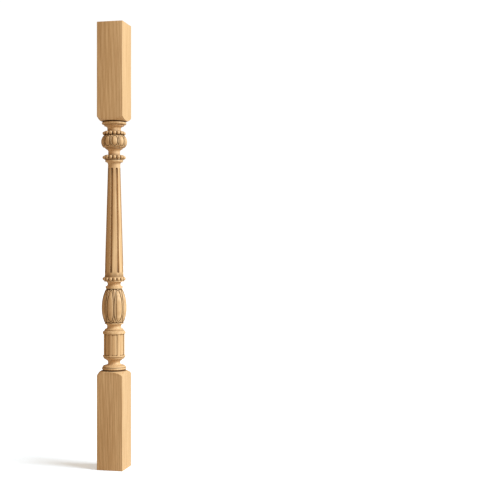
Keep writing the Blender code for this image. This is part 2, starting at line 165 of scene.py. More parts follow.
# How finely the round forms are divided
TURN_STEPS = 128
TURN_PHASE = math.radians(1.3)
SHOULDER_PHASE = math.pi / TURN_STEPS
ARC_STEPS = 8
BODY_STEPS = 18
SHAFT_ROWS = 14
DRUM_ROWS = 16
STRIP_COLUMNS = 8
STRIP_SOFTNESS = 0.00012
FLUTE_ROWS = 9
FLUTE_STEPS = (26, 15)
BEAD_STEPS = (22, 14)
RIM_STEPS = 10
VASE_LOOP_STEPS = 80
BULB_LOOP_STEPS = 56
DART_ROWS = 18
DART_COLUMNS = 8
EDGE_SEGMENTS = 3
EDGE_ANGLE = math.radians(38.0)
QUARTER_TURN = math.radians(90.0)

# Hollow shading, found by looking out from each point of the surface
HOLLOW_REACH = 0.0060
HOLLOW_RAYS = 22
HOLLOW_LIFT = 0.00012

# Grain: each noise's stretch and detail, the ranges that are spread out, and the weights in the height
WANDER_NOISE = ((9.0, 9.0, 1.6), 2.0)
WANDER_REACH = (0.010, 0.010, 0.0)
FIBRE_NOISE = ((430.0, 430.0, 6.0), 2.5)
FIBRE_RANGE = (0.35, 0.65)
FIBRE_HEIGHT = 0.5
PORE_NOISE = ((2600.0, 2600.0, 70.0), 1.0)
PORE_RANGE = (0.62, 0.70)
PORE_HEIGHT = 1.5
PORE_FLOOR = 0.25
TONE_NOISE = ((38.0, 38.0, 2.2), 3.0)
TONE_RANGE = (0.30, 0.70)
GROWTH_DISTORTION = 1.2
GROWTH_DETAIL = 2.0
GROWTH_DETAIL_SCALE = 0.9
GROWTH_POWER = 1.6
WAVE_TURN = 20.0
PITH_PLACE = (0.085, -0.062, 0.0)
PITH_TURN = (math.radians(1.6), math.radians(-1.1), math.radians(12.0))

# Finish: how far each part of the grain colours the wood, how far painted shade darkens the carving, and the
# surface's gloss
GROWTH_SHARE = 0.42
FIBRE_SHARE = 0.62
TONE_SHARE = 0.22
PORE_SHARE = 0.42
# Painted shade in the carving: how far the wood goes towards the dark hollow colour, and over which shut-in
# values
PAINTED_SHADE_SHARE = 0.95
PAINTED_SHADE_RANGE = (0.06, 0.30)
FIBRE_ROUGHNESS = (0.58, 0.46)
SPECULAR_LEVEL = 0.22
BUMP_STRENGTH = 0.6

# Studio: the floor as seen and as it throws light back, the backdrop, the lights and the camera
FLOOR_SIZE = 20.0
FLOOR_COLOUR = (0.9, 0.9, 0.9, 1.0)
FLOOR_ROUGHNESS = 0.9
FLOOR_GLOW = (0.80, 0.92, 1.0, 1.0)
FLOOR_GLOW_STRENGTH = 0.44
FLOOR_BOUNCE = (0.64, 0.57, 0.48, 1.0)
BACKDROP_COLOUR = (1.0, 1.0, 1.0, 1.0)
BACKDROP_STRENGTH = 1.05
FILL_COLOUR = (1.0, 0.70, 0.40, 1.0)
KEY_COLOUR = (0.71, 0.85, 1.0)
KEY_ANGLE = math.radians(34.0)
SENSOR_WIDTH = 36.0
CLIP_START = 0.05


class BalusterSizes(bpy.types.PropertyGroup):
    """Sizes of the carving."""

    carving_depth: bpy.props.FloatProperty(
        name="Carving Depth", description="Depth of the grooves round the eggs", default=0.0018, unit="LENGTH"
    )
    egg_stand: bpy.props.FloatProperty(
        name="Egg Stand", description="How far the eggs stand above their rims", default=0.0004, unit="LENGTH"
    )
    groove_width: bpy.props.FloatProperty(
        name="Groove Width", description="Width between egg and rim", default=0.0008, unit="LENGTH"
    )
    vase_rim_width: bpy.props.FloatProperty(
        name="Vase Rim Width", description="Width of the vase's raised rims", default=0.0024, unit="LENGTH"
    )
    bulb_rim_width: bpy.props.FloatProperty(
        name="Bulb Rim Width", description="Width of the bulb's raised rims", default=0.0019, unit="LENGTH"
    )
    vase_loops: bpy.props.IntProperty(name="Vase Loops", description="Loops round the vase", default=8, min=3)
    bulb_loops: bpy.props.IntProperty(
        name="Bulb Loops", description="Loops round the bulb", default=10, min=3
    )
    bead_radius: bpy.props.FloatProperty(
        name="Bead Radius", description="Radius of the beads on the collars", default=0.0040, unit="LENGTH"
    )
    bead_count: bpy.props.IntProperty(name="Beads", description="Beads round each collar", default=16, min=3)
    flute_radius: bpy.props.FloatProperty(
        name="Flute Radius", description="Radius of the shaft's flutes", default=0.0028, unit="LENGTH"
    )
    flute_count: bpy.props.IntProperty(name="Flutes", description="Flutes round the shaft", default=8, min=3)
    edge_round: bpy.props.FloatProperty(
        name="Edge Rounding", description="Rounding of the blocks' edges", default=0.0005, unit="LENGTH"
    )


class OakFinish(bpy.types.PropertyGroup):
    """Colours and texture of the wood, and the colour of the shade painted into the carving."""

    light_wood: bpy.props.FloatVectorProperty(
        name="Light Wood",
        description="Colour between the growth lines",
        default=(0.79, 0.52, 0.265),
        subtype="COLOR",
    )
    dark_wood: bpy.props.FloatVectorProperty(
        name="Dark Wood",
        description="Colour of the growth lines",
        default=(0.50, 0.27, 0.11),
        subtype="COLOR",
    )
    warm_wood: bpy.props.FloatVectorProperty(
        name="Warm Wood",
        description="Colour of the slow, warm changes of tone",
        default=(0.80, 0.50, 0.22),
        subtype="COLOR",
    )
    pore: bpy.props.FloatVectorProperty(
        name="Pores",
        description="Colour of the open pores",
        default=(0.36, 0.19, 0.08),
        subtype="COLOR",
    )
    # Painted shade: the dark colour mixed into the wood where the carving is shut in, in place of shade that
    # falls there.
    hollow: bpy.props.FloatVectorProperty(
        name="Hollows",
        description="Colour deep in the carving",
        default=(0.09, 0.030, 0.005),
        subtype="COLOR",
    )
    growth_width: bpy.props.FloatProperty(
        name="Growth Width", description="Width of one year's growth", default=0.0034, unit="LENGTH"
    )
    grain_height: bpy.props.FloatProperty(
        name="Grain Height", description="Height of the grain in the surface", default=0.00006, unit="LENGTH"
    )


class StudioSettings(bpy.types.PropertyGroup):
    """The camera and the lights."""

    azimuth: bpy.props.FloatProperty(
        name="Camera Azimuth",
        description="Turn of the camera towards +X",
        default=math.radians(20.0),
        unit="ROTATION",
    )
    distance: bpy.props.FloatProperty(
        name="Camera Distance", description="Distance of the camera from the axis", default=2.2, unit="LENGTH"
    )
    eye_height: bpy.props.FloatProperty(
        name="Eye Height", description="Height of the camera", default=0.502, unit="LENGTH"
    )
    aside: bpy.props.FloatProperty(
        name="Aside",
        description="Turn that leaves the baluster at the left",
        default=math.radians(7.70),
        unit="ROTATION",
    )
    lens: bpy.props.FloatProperty(
        name="Lens", description="Focal length on a 36 mm sensor", default=71.1, unit="CAMERA"
    )
    key_turn: bpy.props.FloatProperty(
        name="Key Turn",
        description="Key light's turn from the camera",
        default=math.radians(61.5),
        unit="ROTATION",
    )
    key_rise: bpy.props.FloatProperty(
        name="Key Rise",
        description="Key light's height above the horizon",
        default=math.radians(32.0),
        unit="ROTATION",
    )
    key_strength: bpy.props.FloatProperty(
        name="Key Strength", description="Strength of the key light", default=5.1
    )
    fill_strength: bpy.props.FloatProperty(
        name="Fill Strength", description="Strength of the surrounding light", default=0.37
    )


class Turning:
    """A turned outline, laid down moulding by moulding from a starting height, upwards or downwards."""

    def __init__(self, start, way):
        self.z = start
        self.way = way
        self.points = []

    def straight(self, radius, height):
        """A straight step of its own radius."""
        self.points.append((radius, self.z))
        self.z += self.way * height
        self.points.append((radius, self.z))

    def neck(self, radius, height):
        """A straight neck that carries on from the moulding before it."""
        self.z += self.way * height
        self.points.append((radius, self.z))

    def divided(self, radius, height, count):
        """A long straight step with rows along it, so that it can be shaded along its length."""
        for step in range(count + 1):
            self.points.append((radius, self.z + self.way * height * step / count))
        self.z += self.way * height

    def curve(self, radius, end_radius, height, bulge):
        """An arc that stands out from its chord by bulge, or is hollowed by it where it is negative."""
        start = Vector((radius, self.z))
        self.z += self.way * height
        end = Vector((end_radius, self.z))
        self.points.extend(arc(start, end, bulge))

    def cove(self, radius, end_radius, waist, height):
        """A hollow moulding that narrows to its waist."""
        self.curve(radius, end_radius, height, waist - (radius + end_radius) / 2)

    def torus(self, radius, height):
        """A half-round moulding."""
        edge = radius - height * TORUS_SHARE
        self.curve(edge, edge, height, radius - edge)

    def body(self, body, depth):
        """The ground of a carved body, sunk below the outline of its carving."""
        low, high = (body.foot, body.top) if self.way > 0 else (body.top, body.foot)
        for step in range(BODY_STEPS + 1):
            z = low + (high - low) * step / BODY_STEPS
            self.points.append((body.radius_at(z) - depth, z))
        self.z = high


class Body:
    """A swelling body whose outline is one ellipse above its belly and another below."""

    def __init__(self, foot, height, belly_height, radius, foot_radius, top_radius):
        self.foot = foot
        self.top = foot + height
        self.belly = foot + belly_height
        self.radius = radius
        self.half_below = belly_height / math.sqrt(1.0 - (foot_radius / radius) ** 2)
        self.half_above = (height - belly_height) / math.sqrt(1.0 - (top_radius / radius) ** 2)

    def radius_at(self, z):
        """The outline's radius at a height."""
        half = self.half_above if z > self.belly else self.half_below
        return self.radius * math.sqrt(max(0.0, 1.0 - ((z - self.belly) / half) ** 2))


class Loops:
    """A ring of upright loops round a body, each an egg in a raised rim, with darts between them."""

    def __init__(self, body, count, start, centre_height, rim_width, steps, sizes):
        self.body = body
        self.count = count
        self.start = start
        self.pitch = math.tau / count
        self.centre = body.foot + centre_height
        self.half_rim = rim_width / 2
        self.steps = steps
        self.depth = sizes.carving_depth
        self.groove = sizes.groove_width
        self.egg_height = sizes.carving_depth + sizes.egg_stand
        self.half_angle = self.pitch / 2 - (self.half_rim + RIM_GAP / 2) / body.radius
        self.reach_up = body.top - self.centre - self.half_rim
        self.reach_down = self.centre - body.foot - self.half_rim

    def outline(self, turn, inset=0.0):
        """The angle from the loop's middle and the height, at a turn round the rim's middle line."""
        across = math.cos(turn)
        along = math.sin(turn)
        power = 2.0 / LOOP_SQUARENESS
        reach = self.reach_up if along > 0 else self.reach_down
        half_angle = self.half_angle - inset / self.body.radius
        angle = half_angle * math.copysign(abs(across) ** power, across)
        z = self.centre + (reach - inset) * math.copysign(abs(along) ** power, along)
        return angle, z

    def half_angle_at(self, z):
        """Half the angle that the rim's middle line spans at a height."""
        reach = self.reach_up if z > self.centre else self.reach_down
        share = min(1.0, abs(z - self.centre) / reach)
        return self.half_angle * (1.0 - share**LOOP_SQUARENESS) ** (1.0 / LOOP_SQUARENESS)

    def place(self, angle, z, lift):
        """The point that stands lift above the body's sunk ground."""
        return on_radius(angle, self.body.radius_at(z) - self.depth + lift, z)

    def rows(self):
        """Inset from the rim's middle line, share of that outline, and lift, from the rim to the crest."""
        made = [(-self.half_rim, 1.0, -CARVING_ROOT)]
        for step in range(RIM_STEPS + 1):
            across = -math.cos(math.pi * step / RIM_STEPS)
            rise = (1.0 - abs(across) ** RIM_SQUARENESS) ** (1.0 / RIM_SQUARENESS)
            made.append((across * self.half_rim, 1.0, self.depth - self.half_rim * (1.0 - rise)))
        edge = self.half_rim + self.groove
        made.append((self.half_rim * GROOVE_EDGES[0], 1.0, GROOVE_FLOOR))
        made.append((edge * GROOVE_EDGES[1], 1.0, GROOVE_FLOOR))
        for share in EGG_SHARES:
            rise = (1.0 - share**EGG_EDGE_POWER * EGG_EDGE_FALL) ** EGG_DOME_POWER
            made.append((edge, share, self.egg_height * rise))
        return made


def on_radius(angle, radius, z):
    """The point at an angle from the front, -Y, counted towards +X."""
    return Vector((radius * math.sin(angle), -radius * math.cos(angle), z))


def arc(start, end, bulge):
    """Points from start to end on a circular arc that leaves its chord by bulge, outwards if positive."""
    chord = end - start
    side = Vector((abs(chord.y), -chord.x if chord.y > 0 else chord.x)).normalized()
    half = chord.length / 2
    radius = (half**2 + bulge**2) / (2 * abs(bulge))
    sweep = 2 * math.asin(min(1.0, half / radius))
    points = []
    for step in range(ARC_STEPS + 1):
        turn = sweep * (step / ARC_STEPS - 0.5)
        along = radius * math.sin(turn)
        out = math.copysign(radius * math.cos(turn) - (radius - abs(bulge)), bulge)
        place = (start + end) / 2 + chord.normalized() * along + side * out
        points.append((place.x, place.y))
    return points


def ring_angles(count, start=0.0):
    """Angles spaced evenly round the axis."""
    return [start + math.tau * index / count for index in range(count)]


def closed_edges(bm, ring):
    """The edges round a ring of vertices, made where they are missing."""
    pairs = zip(ring, ring[1:] + ring[:1])
    return [bm.edges.get(pair) or bm.edges.new(pair) for pair in pairs]


def loft(bm, rings):
    """Bridges each ring of vertices to the next."""
    for one, other in zip(rings, rings[1:]):
        bmesh.ops.bridge_loops(bm, edges=closed_edges(bm, one) + closed_edges(bm, other))


def fan(bm, ring, place):
    """Closes a ring of vertices round one more vertex."""
    middle = bm.verts.new(place)
    for one, other in zip(ring, ring[1:] + ring[:1]):
        bm.faces.new((one, other, middle))


def solid(name, bm):
    """A helper object from a bmesh, for a Boolean."""
    bmesh.ops.recalc_face_normals(bm, faces=bm.faces)
    mesh = bpy.data.meshes.new(name)
    bm.to_mesh(mesh)
    bm.free()
    item = bpy.data.objects.new(name, mesh)
    bpy.context.scene.collection.objects.link(item)
    return item


def turned(outline, phase=TURN_PHASE):
    """A closed solid from (radius, height) points, spun round the Z axis from a line at the phase."""
    bm = bmesh.new()
    points = [(0.0, outline[0][1]), *outline, (0.0, outline[-1][1])]
    line = [bm.verts.new(on_radius(phase, radius, z)) for radius, z in points]
    edges = [bm.edges.new(pair) for pair in zip(line, line[1:])]
    bmesh.ops.spin(
        bm,
        geom=line + edges,
        axis=(0.0, 0.0, 1.0),
        cent=(0.0, 0.0, 0.0),
        angle=math.tau,
        steps=TURN_STEPS,
        use_merge=True,
    )
    bmesh.ops.remove_doubles(bm, verts=bm.verts, dist=MERGE_DISTANCE)
    return bm


def combine(target, operand, operation):
    """Applies a Boolean to the target and removes the operand."""
    modifier = target.modifiers.new(operand.name, "BOOLEAN")
    modifier.operation = operation
    modifier.solver = "EXACT"
    modifier.object = operand
    graph = bpy.context.evaluated_depsgraph_get()
    mesh = bpy.data.meshes.new_from_object(target.evaluated_get(graph))
    target.modifiers.clear()
    target.data = mesh
    bpy.data.objects.remove(operand)


def lower_turning(depth):
    """The outline from the lower block to the foot of the shaft, with what is carved on it."""
    line = Turning(FOOT.z + BLOCK_LENGTH - JOIN, 1)
    line.straight(LOWER_RECESS[0], JOIN + LOWER_RECESS[1])
    line.torus(*LOWER_TORUS)
    line.curve(*LOWER_OVOLO, LOWER_OVOLO[2] * OVOLO_SHARE)
    line.cove(*LOWER_NECK)
    line.straight(*LOWER_FILLET)
    line.curve(*DRUM_SEAT, DRUM_SEAT[2] * OVOLO_SHARE)
    line.torus(*DRUM_RING)
    drum_foot = line.z
    line.divided(DRUM_RADIUS - PANEL_DEPTH, DRUM_HEIGHT, DRUM_ROWS)
    line.points.append((CAP_EDGE[0] - CAP_EDGE_ROUND, line.z))
    line.points.append((CAP_EDGE[0], line.z + CAP_EDGE_ROUND))
    line.z += CAP_EDGE[1]
    line.curve(*CAP_OVOLO, CAP_BULGE)
    line.straight(*CAP_FILLET)
    line.cove(*VASE_COVE)
    line.straight(*VASE_DISC)
    vase = Body(line.z + UNDERCUT_HEIGHT, *VASE)
    line.points.append((VASE[3] - depth, line.z))
    line.body(vase, depth)
    line.z += UNDERCUT_HEIGHT
    line.points.append((VASE[4] - depth, line.z))
    line.straight(*VASE_RING)
    line.cove(*SHAFT_COVE)
    beads = line.z + SHAFT_BEAD_HEIGHT
    line.straight(*SHAFT_BAND)
    line.points.append((SHAFT_FOOT_RADIUS, line.z))
    return line, vase, beads, drum_foot


def upper_turning(depth):
    """The outline from the upper block down to the top of the shaft, with what is carved on it."""
    line = Turning(HEAD.z - BLOCK_LENGTH + JOIN, -1)
    line.straight(UPPER_RECESS[0], JOIN + UPPER_RECESS[1])
    line.torus(*UPPER_TORUS)
    line.straight(*UPPER_FILLET)
    line.curve(UPPER_COVE[0], UPPER_NECK[0], UPPER_COVE[1], -UPPER_COVE[1] * COVE_SHARE)
    line.neck(*UPPER_NECK)
    upper_beads = line.z - UPPER_BAND[1] / 2
    line.straight(*UPPER_BAND)
    bulb = Body(line.z - BULB[0], *BULB)
    line.body(bulb, depth)
    line.straight(*BULB_DISC)
    line.straight(*BULB_FILLET)
    line.curve(BULB_COVE[0], BULB_NECK[0], BULB_COVE[1], -BULB_COVE[1] * OVOLO_SHARE)
    line.neck(*BULB_NECK)
    middle_beads = line.z - MIDDLE_BAND[1] / 2
    line.straight(*MIDDLE_BAND)
    line.curve(SHAFT_RING[0], SHAFT_RING[0], SHAFT_RING[1], SHAFT_RING[1] * RING_SHARE)
    line.curve(SHAFT_CAVETTO[0], SHAFT_TOP_RADIUS, SHAFT_CAVETTO[1], -SHAFT_CAVETTO[1] * OVOLO_SHARE)
    return line, bulb, (upper_beads, middle_beads)


def shaft_rows(foot, top):
    """Points along the shaft's straight taper, so that it can be shaded along its length."""
    rows = []
    for step in range(1, SHAFT_ROWS):
        share = step / SHAFT_ROWS
        radius = SHAFT_FOOT_RADIUS + (SHAFT_TOP_RADIUS - SHAFT_FOOT_RADIUS) * share
        rows.append((radius, foot + (top - foot) * share))
    return rows


def block(name, end, way, edge_round):
    """A square block that ends at a height in a turned shoulder, facing up where way is 1, down for -1."""
    corner = SIDE / math.sqrt(2.0) + JOIN
    slope = SHOULDER_RISE / (SIDE / math.sqrt(2.0) - SHOULDER_RADIUS)
    drop = slope * (corner - SHOULDER_RADIUS)
    outline = Turning(end - way * (BLOCK_LENGTH + JOIN), way)
    outline.straight(corner, BLOCK_LENGTH + JOIN - drop)
    outline.curve(corner, SHOULDER_RADIUS, drop, SHOULDER_BULGE)
    shoulder = solid(name + "_shoulder", turned(outline.points, SHOULDER_PHASE))
    bm = bmesh.new()
    bmesh.ops.create_cube(bm, size=1.0)
    bmesh.ops.scale(bm, verts=bm.verts, vec=(SIDE, SIDE, BLOCK_LENGTH + JOIN))
    bmesh.ops.translate(bm, verts=bm.verts, vec=(0.0, 0.0, end - way * (BLOCK_LENGTH - JOIN) / 2))
    bmesh.ops.bevel(
        bm,
        geom=list(bm.edges),
        affect="EDGES",
        offset=edge_round,
        offset_type="OFFSET",
        segments=EDGE_SEGMENTS,
        profile=0.5,
        material=-1,
    )
    square = solid(name, bm)
    combine(square, shoulder, "INTERSECT")
    return square


def beads(heights, sizes):
    """A ring of beads at each height."""
    bm = bmesh.new()
    for z in heights:
        for angle in ring_angles(sizes.bead_count):
            outwards = Matrix.Rotation(angle, 4, "Z") @ Matrix.Rotation(QUARTER_TURN, 4, "X")
            bmesh.ops.create_uvsphere(
                bm,
                u_segments=BEAD_STEPS[0],
                v_segments=BEAD_STEPS[1],
                radius=sizes.bead_radius,
                matrix=Matrix.Translation(on_radius(angle, BEAD_RING_RADIUS, z)) @ outwards,
            )
    return solid("beads", bm)


def flutes(foot, top, sizes):
    """Round-ended hollows that follow the shaft's taper."""
    low = foot + FLUTE_FOOT_MARGIN + sizes.flute_radius
    high = top - FLUTE_TOP_MARGIN - sizes.flute_radius
    slope = (SHAFT_TOP_RADIUS - SHAFT_FOOT_RADIUS) / (top - foot)
    bm = bmesh.new()
    for angle in ring_angles(sizes.flute_count):
        made = bmesh.ops.create_uvsphere(
            bm, u_segments=FLUTE_STEPS[0], v_segments=FLUTE_STEPS[1], radius=sizes.flute_radius
        )["verts"]
        for vert in made:
            z = vert.co.z + (high if vert.co.z > 0 else low)
            radius = SHAFT_FOOT_RADIUS + slope * (z - foot)
            place = Vector((vert.co.x, vert.co.y * FLUTE_DEPTH_SHARE - radius, z))
            vert.co = Matrix.Rotation(angle, 3, "Z") @ place
    half = (high - low) / 2
    long_edges = [edge for edge in bm.edges if abs(edge.verts[0].co.z - edge.verts[1].co.z) > half]
    bmesh.ops.subdivide_edges(bm, edges=long_edges, cuts=FLUTE_ROWS, use_grid_fill=True)
    return solid("flutes", bm)


def strips(foot):
    """Raised flat strips on the drum. Their ends run into the mouldings above and below."""
    bm = bmesh.new()
    inner = DRUM_RADIUS - PANEL_DEPTH - JOIN
    low = foot - JOIN / 2
    high = foot + DRUM_HEIGHT + CAP_EDGE[1] / 2
    for angle in ring_angles(STRIP_COUNT):
        rings = []
        for row in range(DRUM_ROWS):
            z = low + (high - low) * row / (DRUM_ROWS - 1)
            ring = [bm.verts.new(on_radius(angle + side * STRIP_ANGLE / 2, inner, z)) for side in (1, -1)]
            for column in range(STRIP_COLUMNS + 1):
                side = 2.0 * column / STRIP_COLUMNS - 1.0
                soft = STRIP_SOFTNESS if abs(side) == 1.0 else 0.0
                ring.append(bm.verts.new(on_radius(angle + side * STRIP_ANGLE / 2, DRUM_RADIUS - soft, z)))
            rings.append(ring)
        loft(bm, rings)
        fan(bm, rings[0], on_radius(angle, DRUM_RADIUS - PANEL_DEPTH, low))
        fan(bm, rings[-1], on_radius(angle, DRUM_RADIUS - PANEL_DEPTH, high))
    return solid("strips", bm)


def carved_loops(name, loops):
    """A long egg in a groove and a raised rim, for each loop."""
    bm = bmesh.new()
    for middle in ring_angles(loops.count, loops.start):
        rings = []
        for inset, share, lift in loops.rows():
            ring = []
            for step in range(loops.steps):
                angle, z = loops.outline(math.tau * (step + 0.5) / loops.steps, inset)
                z = loops.centre + (z - loops.centre) * share
                ring.append(bm.verts.new(loops.place(middle + angle * share, z, lift)))
            rings.append(ring)
        loft(bm, rings)
        fan(bm, rings[0], loops.place(middle, loops.centre, -CARVING_ROOT * 2))
        fan(bm, rings[-1], loops.place(middle, loops.centre, loops.egg_height))
    return solid(name, bm)


def dart_row(loops, tip, end, share, widest, stand):
    """Height, half width, ridge height and fullness of a dart, at a share of its length."""
    z = tip + (end - tip) * share
    gap = loops.pitch / 2 - loops.half_angle_at(z)
    close = 1.0
    if share > DART_TIP:
        close = math.sqrt(max(0.0, 1.0 - ((share - DART_TIP) / DART_TIP_LENGTH) ** 2))
    width = close if end > loops.centre else min(1.0, close + DART_FOOT_WIDTH)
    half = max(DART_LEAST_HALF, min(widest, gap) * width)
    ridge = DART_LEAST_RIDGE + (stand - DART_LEAST_RIDGE) * min(1.0, share * DART_RISE)
    return z, half, ridge, DART_TIP_LIFT + (1.0 - DART_TIP_LIFT) * close


def darts(name, loops, widest, stand):
    """Ridged leaf-shaped darts between the loops: round-tipped above, blunter below."""
    bm = bmesh.new()
    body = loops.body
    for middle in ring_angles(loops.count, loops.start + loops.pitch / 2):
        for end, reach in ((body.top, loops.reach_up), (body.foot, -loops.reach_down)):
            tip = loops.centre + reach * DART_REACH
            rings = []
            for row in range(DART_ROWS + 1):
                z, half, ridge, fullness = dart_row(loops, tip, end, row / DART_ROWS, widest, stand)
                ring = []
                for column in range(DART_COLUMNS + 1):
                    across = 2.0 * column / DART_COLUMNS - 1.0
                    lift = ridge * (1.0 - abs(across)) * fullness
                    lift = lift if abs(across) < 1.0 else -DART_SIDE_DEPTH
                    ring.append(bm.verts.new(loops.place(middle + half * across, z, lift)))
                ring.append(bm.verts.new(loops.place(middle + half, z, -CARVING_ROOT)))
                ring.append(bm.verts.new(loops.place(middle - half, z, -CARVING_ROOT)))
                rings.append(ring)
            loft(bm, rings)
            fan(bm, rings[0], loops.place(middle, tip, -CARVING_ROOT / 2))
            fan(bm, rings[-1], loops.place(middle, end, -CARVING_ROOT / 2))
    return solid(name, bm)


def shade_hollows(mesh):
    """Stores on each point how shut in it is, from 0 in the open to 1 deep in the carving, as the mask for
    the shade painted into the wood's colour.
    """
    bm = bmesh.new()
    bm.from_mesh(mesh)
    tree = BVHTree.FromBMesh(bm)
    golden = math.pi * (3.0 - math.sqrt(5.0))
    dome = []
    for index in range(HOLLOW_RAYS):
        up = math.sqrt((index + 0.5) / HOLLOW_RAYS)
        flat = math.sqrt(1.0 - up * up)
        dome.append(Vector((flat * math.cos(golden * index), flat * math.sin(golden * index), up)))
    values = []
    for vert in bm.verts:
        turn = vert.normal.to_track_quat("Z", "Y").to_matrix()
        start = vert.co + vert.normal * HOLLOW_LIFT
        shut = 0.0
        for ray in dome:
            hit = tree.ray_cast(start, turn @ ray, HOLLOW_REACH)
            if hit[0] is not None:
                shut += 1.0 - hit[3] / HOLLOW_REACH
        values.append(min(1.0, shut / HOLLOW_RAYS))
    bm.free()
    hollow = mesh.attributes.new("hollow", "FLOAT", "POINT")
    hollow.data.foreach_set("value", values)


def socket(group, name, kind, side, default=None):
    """Adds a socket to a node group."""
    made = group.interface.new_socket(name=name, in_out=side, socket_type=kind)
    if default is not None:
        made.default_value = default


def grain_group():
    """Growth lines about a distant pith, fine fibres, short open pores and slow changes of tone."""
    group = bpy.data.node_groups.new("wood_grain", "ShaderNodeTree")
    socket(group, "Vector", "NodeSocketVector", "INPUT")
    socket(group, "Growth Scale", "NodeSocketFloat", "INPUT", default=90.0)
    for name in ("Growth", "Fibre", "Pore", "Tone", "Height"):
        socket(group, name, "NodeSocketFloat", "OUTPUT")
    nodes = group.nodes
    link = group.links.new
    source = nodes.new("NodeGroupInput")
    sink = nodes.new("NodeGroupOutput")

    def noise(stretch, detail):
        """Noise on the wood's own coordinates, stretched."""
        place = nodes.new("ShaderNodeMapping")
        place.inputs["Scale"].default_value = stretch
        link(source.outputs["Vector"], place.inputs["Vector"])
        node = nodes.new("ShaderNodeTexNoise")
        node.inputs["Scale"].default_value = 1.0
        node.inputs["Detail"].default_value = detail
        link(place.outputs["Vector"], node.inputs["Vector"])
        return node

    def spread(value, span, smooth=False):
        """A range of a value, spread to run from 0 to 1."""
        node = nodes.new("ShaderNodeMapRange")
        node.interpolation_type = "SMOOTHSTEP" if smooth else "LINEAR"
        node.inputs["From Min"].default_value, node.inputs["From Max"].default_value = span
        link(value, node.inputs["Value"])
        return node.outputs["Result"]

    def blend(one, other, operation):
        """One value and another, or a number, put through a Math node."""
        node = nodes.new("ShaderNodeMath")
        node.operation = operation
        for index, value in enumerate((one, other)):
            if isinstance(value, float):
                node.inputs[index].default_value = value
            else:
                link(value, node.inputs[index])
        return node.outputs["Value"]

    centred = nodes.new("ShaderNodeVectorMath")
    centred.operation = "MULTIPLY_ADD"
    centred.inputs[1].default_value = WANDER_REACH
    link(noise(*WANDER_NOISE).outputs["Color"], centred.inputs[0])
    link(source.outputs["Vector"], centred.inputs[2])
    rings = nodes.new("ShaderNodeTexWave")
    rings.wave_type = "RINGS"
    rings.rings_direction = "Z"
    rings.wave_profile = "SIN"
    rings.inputs["Distortion"].default_value = GROWTH_DISTORTION
    rings.inputs["Detail"].default_value = GROWTH_DETAIL
    rings.inputs["Detail Scale"].default_value = GROWTH_DETAIL_SCALE
    link(centred.outputs["Vector"], rings.inputs["Vector"])
    link(source.outputs["Growth Scale"], rings.inputs["Scale"])

    growth = blend(rings.outputs["Fac"], GROWTH_POWER, "POWER")
    fibre = spread(noise(*FIBRE_NOISE).outputs["Fac"], FIBRE_RANGE)
    pore = spread(noise(*PORE_NOISE).outputs["Fac"], PORE_RANGE, smooth=True)
    pore = blend(pore, blend(growth, PORE_FLOOR, "ADD"), "MULTIPLY")
    tone = spread(noise(*TONE_NOISE).outputs["Fac"], TONE_RANGE)
    height = blend(blend(fibre, FIBRE_HEIGHT, "MULTIPLY"), blend(pore, PORE_HEIGHT, "MULTIPLY"), "SUBTRACT")
    link(growth, sink.inputs["Growth"])
    link(fibre, sink.inputs["Fibre"])
    link(pore, sink.inputs["Pore"])
    link(tone, sink.inputs["Tone"])
    link(height, sink.inputs["Height"])
    return group


def oak(finish):
    """Fine-sanded pale oak, with darker, warmer shade painted into the depth of the carving."""
    material = bpy.data.materials.new("pale_oak")
    material.use_nodes = True
    nodes = material.node_tree.nodes
    link = material.node_tree.links.new
    shader = nodes["Principled BSDF"]
    place = nodes.new("ShaderNodeTexCoord")
    pith = nodes.new("ShaderNodeMapping")
    pith.inputs["Location"].default_value = PITH_PLACE
    pith.inputs["Rotation"].default_value = PITH_TURN
    link(place.outputs["Object"], pith.inputs["Vector"])
    grain = nodes.new("ShaderNodeGroup")
    grain.node_tree = grain_group()
    grain.inputs["Growth Scale"].default_value = math.tau / WAVE_TURN / finish.growth_width
    link(pith.outputs["Vector"], grain.inputs["Vector"])

    def mixed(factor, one, other):
        """A colour socket that goes from one colour to another by a factor."""
        node = nodes.new("ShaderNodeMix")
        node.data_type = "RGBA"
        for name, value in (("Factor", factor), ("A", one), ("B", other)):
            target = next(item for item in node.inputs if item.name == name and item.enabled)
            if isinstance(value, bpy.types.NodeSocket):
                link(value, target)
            else:
                target.default_value = (*value, 1.0)
        return next(item for item in node.outputs if item.enabled)

    def scaled(value, low, high, span=(0.0, 1.0)):
        """A value that runs from low to high while its source runs over a span."""
        node = nodes.new("ShaderNodeMapRange")
        node.inputs["From Min"].default_value, node.inputs["From Max"].default_value = span
        node.inputs["To Min"].default_value = low
        node.inputs["To Max"].default_value = high
        link(value, node.inputs["Value"])
        return node.outputs["Result"]

    base = mixed(scaled(grain.outputs["Growth"], 0.0, GROWTH_SHARE), finish.light_wood, finish.dark_wood)
    base = mixed(scaled(grain.outputs["Fibre"], FIBRE_SHARE, 0.0), base, finish.dark_wood)
    base = mixed(scaled(grain.outputs["Tone"], 0.0, TONE_SHARE), base, finish.warm_wood)
    base = mixed(scaled(grain.outputs["Pore"], 0.0, PORE_SHARE), base, finish.pore)
    # Painted shade: the base colour is mixed towards the dark hollow colour by how shut in each point is.
    hollow = nodes.new("ShaderNodeAttribute")
    hollow.attribute_name = "hollow"
    base = mixed(scaled(hollow.outputs["Fac"], 0.0, PAINTED_SHADE_SHARE, PAINTED_SHADE_RANGE), base, finish.hollow)
    link(base, shader.inputs["Base Color"])
    link(scaled(grain.outputs["Fibre"], *FIBRE_ROUGHNESS), shader.inputs["Roughness"])
    shader.inputs["Specular IOR Level"].default_value = SPECULAR_LEVEL
    bump = nodes.new("ShaderNodeBump")
    bump.inputs["Strength"].default_value = BUMP_STRENGTH
    bump.inputs["Distance"].default_value = finish.grain_height
    link(grain.outputs["Height"], bump.inputs["Height"])
    link(bump.outputs["Normal"], shader.inputs["Normal"])
    return material


